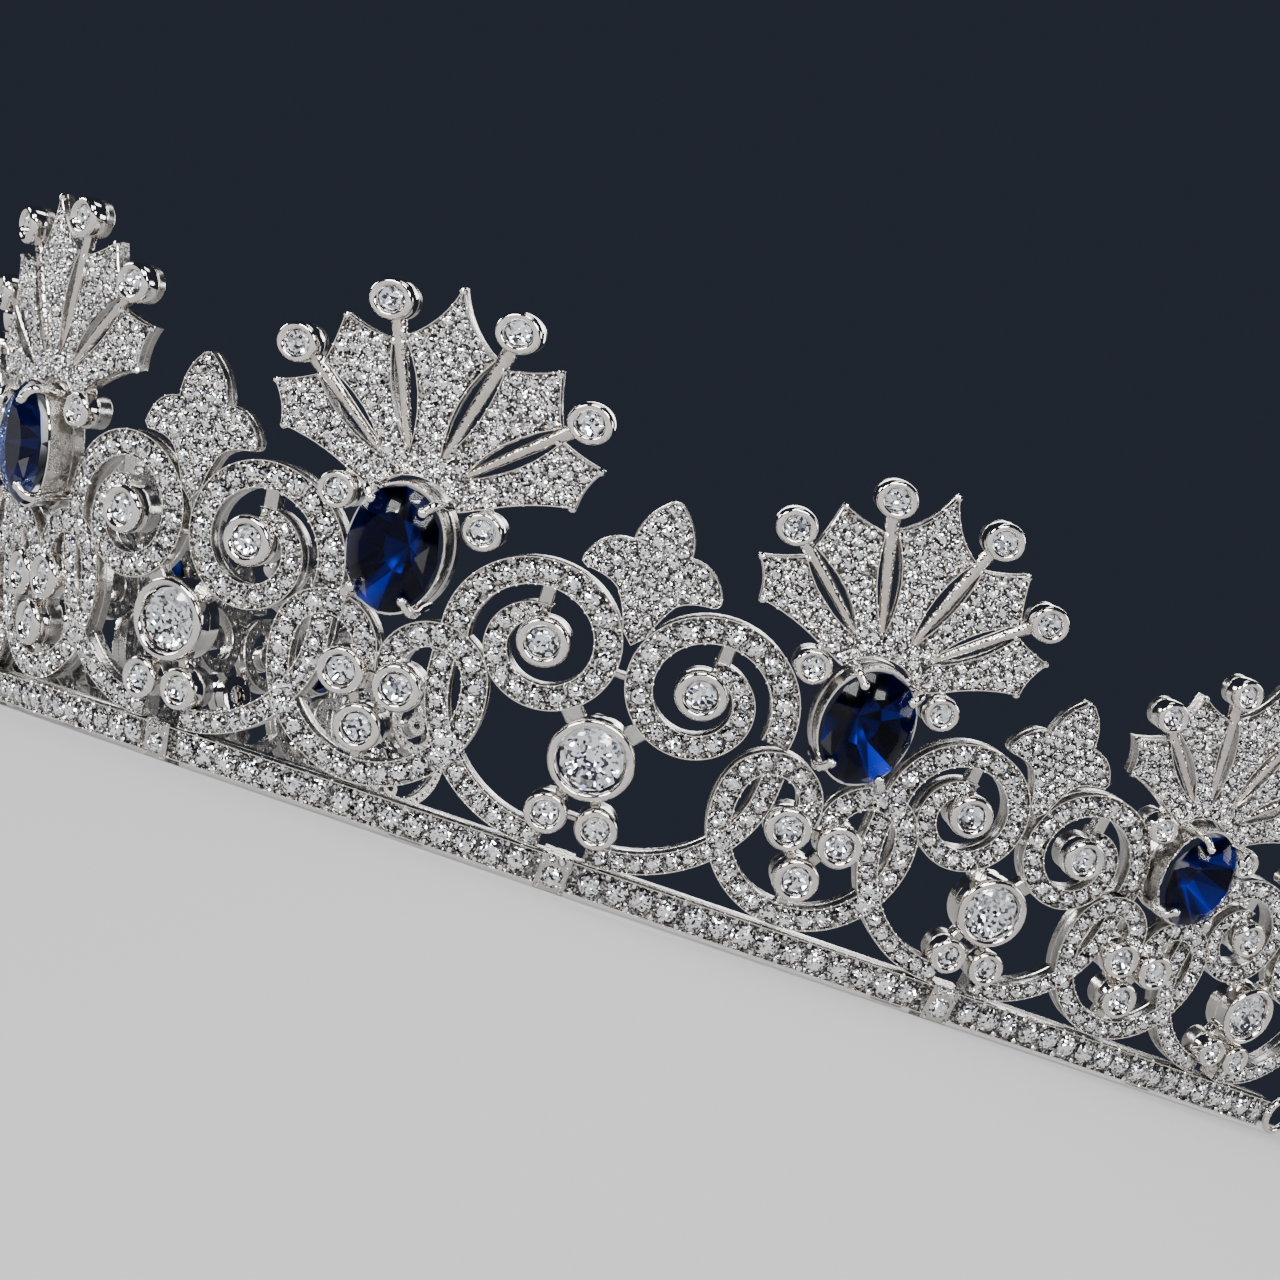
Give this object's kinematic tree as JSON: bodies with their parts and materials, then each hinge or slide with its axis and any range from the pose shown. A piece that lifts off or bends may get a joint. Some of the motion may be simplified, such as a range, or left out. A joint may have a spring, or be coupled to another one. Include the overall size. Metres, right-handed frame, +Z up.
{
  "type": "bridal tiara",
  "caption": "Silver-tone bridal tiara: pavé palmettes with dark blue oval stones, scrolls and interlaced rings standing on a curved pavé rail that follows the front of the head.",
  "frame": {"origin": "middle of the tiara's box in plan, on the level surface that its six seam collets stand on", "axes": "+Z up, the front of the tiara faces -Y, its wings run back along +Y, and +X is the viewer's right"},
  "size_m": [0.1642, 0.117, 0.0454],
  "materials": {
    "silver": "bright rhodium plate, set with small clear stones",
    "sapphire": "dark blue faceted crystal",
    "clear_stone": "clear faceted crystal"
  },
  "bodies": {
    "root": {"band_rail_centre": "silver", "band_rail_left_1": "silver", "band_rail_left_2": "silver", "band_rail_left_3": "silver", "band_rail_right_1": "silver", "band_rail_right_2": "silver", "band_rail_right_3": "silver", "claw_setting_centre": "silver", "claw_setting_left_1": "silver", "claw_setting_left_2": "silver", "claw_setting_left_3": "silver", "claw_setting_right_1": "silver", "claw_setting_right_2": "silver", "claw_setting_right_3": "silver", "end_loop_left": "silver", "end_loop_right": "silver", "interlaced_ring_centre": "silver", "interlaced_ring_left_1": "silver", "interlaced_ring_left_2": "silver", "interlaced_ring_left_3": "silver", "interlaced_ring_right_1": "silver", "interlaced_ring_right_2": "silver", "interlaced_ring_right_3": "silver", "palmette_centre": "silver", "palmette_left_1": "silver", "palmette_left_2": "silver", "palmette_left_3": "silver", "palmette_right_1": "silver", "palmette_right_2": "silver", "palmette_right_3": "silver", "round_stone_left_1": "clear_stone", "round_stone_left_2": "clear_stone", "round_stone_left_3": "clear_stone", "round_stone_left_4": "clear_stone", "round_stone_right_1": "clear_stone", "round_stone_right_2": "clear_stone", "round_stone_right_3": "clear_stone", "round_stone_right_4": "clear_stone", "sapphire_centre": "sapphire", "sapphire_left_1": "sapphire", "sapphire_left_2": "sapphire", "sapphire_left_3": "sapphire", "sapphire_right_1": "sapphire", "sapphire_right_2": "sapphire", "sapphire_right_3": "sapphire", "scroll_pair_left_1": "silver", "scroll_pair_left_2": "silver", "scroll_pair_left_3": "silver", "scroll_pair_left_4": "silver", "scroll_pair_right_1": "silver", "scroll_pair_right_2": "silver", "scroll_pair_right_3": "silver", "scroll_pair_right_4": "silver", "seam_collet_left_1": "silver", "seam_collet_left_2": "silver", "seam_collet_left_3": "silver", "seam_collet_right_1": "silver", "seam_collet_right_2": "silver", "seam_collet_right_3": "silver"}
  },
  "joints": []
}
